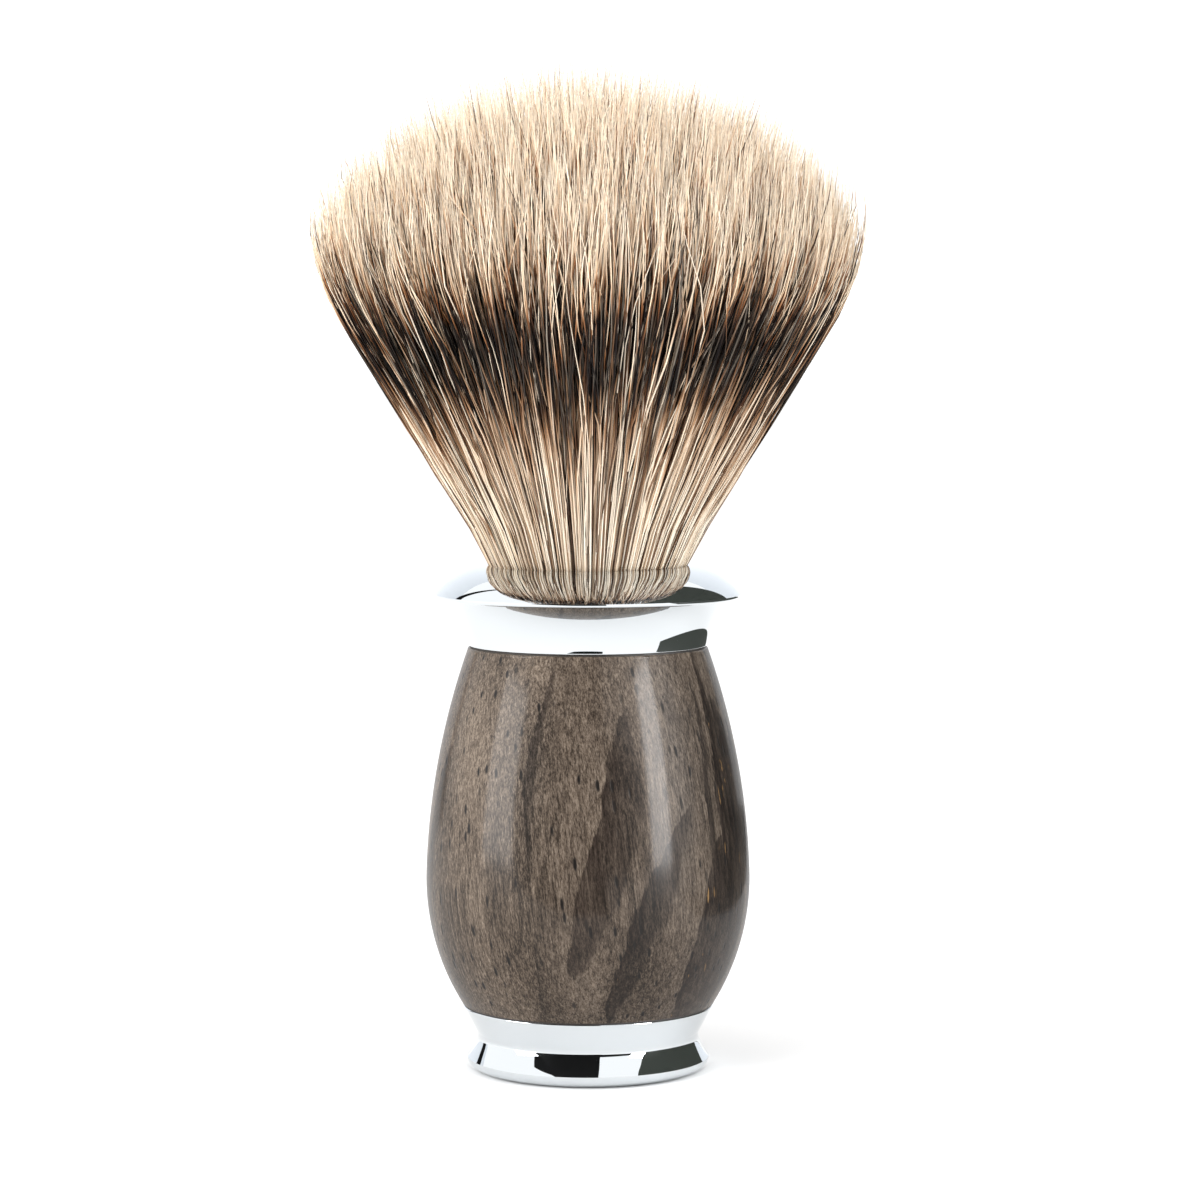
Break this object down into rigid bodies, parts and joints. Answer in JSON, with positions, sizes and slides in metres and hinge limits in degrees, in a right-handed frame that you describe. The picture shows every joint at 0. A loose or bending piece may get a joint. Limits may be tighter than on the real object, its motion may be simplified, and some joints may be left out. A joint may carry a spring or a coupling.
{
  "type": "shaving brush",
  "caption": "Shaving brush with a bellied wooden barrel, chromed collar and foot, and a fan of hair in a screw-in knot.",
  "frame": {"origin": "centre of the ring that the foot stands on", "axes": "+Z along the brush's axis, from the foot towards the hair tips; X and Y are free by symmetry, with the dowel pins on +X"},
  "size_m": [0.0602, 0.0602, 0.109],
  "materials": {
    "bog_wood": "satin",
    "bright_chrome": "polished",
    "gasket_rubber": "matte",
    "insert_plastic": "satin",
    "hardware_steel": "satin",
    "pad_rubber": "matte",
    "cup_plastic": "satin",
    "potting_resin": "gloss",
    "binding_thread": "matte",
    "brush_hair": "matte",
    "seal_rubber": "satin"
  },
  "bodies": {
    "handle": {"wood_barrel": "bog_wood", "collar": "bright_chrome", "foot": "bright_chrome", "upper_gasket": "gasket_rubber", "lower_gasket": "gasket_rubber", "thread_insert": "insert_plastic", "tie_rod": "hardware_steel", "rod_locknut": "hardware_steel", "tie_nut": "hardware_steel", "flat_washer": "hardware_steel", "spring_washer": "hardware_steel", "collar_pin": "hardware_steel", "foot_pin": "hardware_steel", "base_pad": "pad_rubber"},
    "seal": {"head_seal": "seal_rubber"},
    "knot": {"knot_cup": "cup_plastic", "resin_plug": "potting_resin", "binding_cord": "binding_thread", "hair_fan": "brush_hair"}
  },
  "joints": [
    {"name": "knot_rise", "type": "slide", "parent": "handle", "child": "seal", "axis": [0, 0, 1], "range_m": [0, 0.0075]},
    {"name": "knot_turn", "type": "hinge", "parent": "seal", "child": "knot", "pos_m": [0, 0, 0.045], "axis": [0, 0, 1], "range_deg": [0, 1800]}
  ],
  "couplings": [
    {"joint": "knot_rise", "follows": "knot_turn", "m_per_rad": 0.00023873}
  ]
}
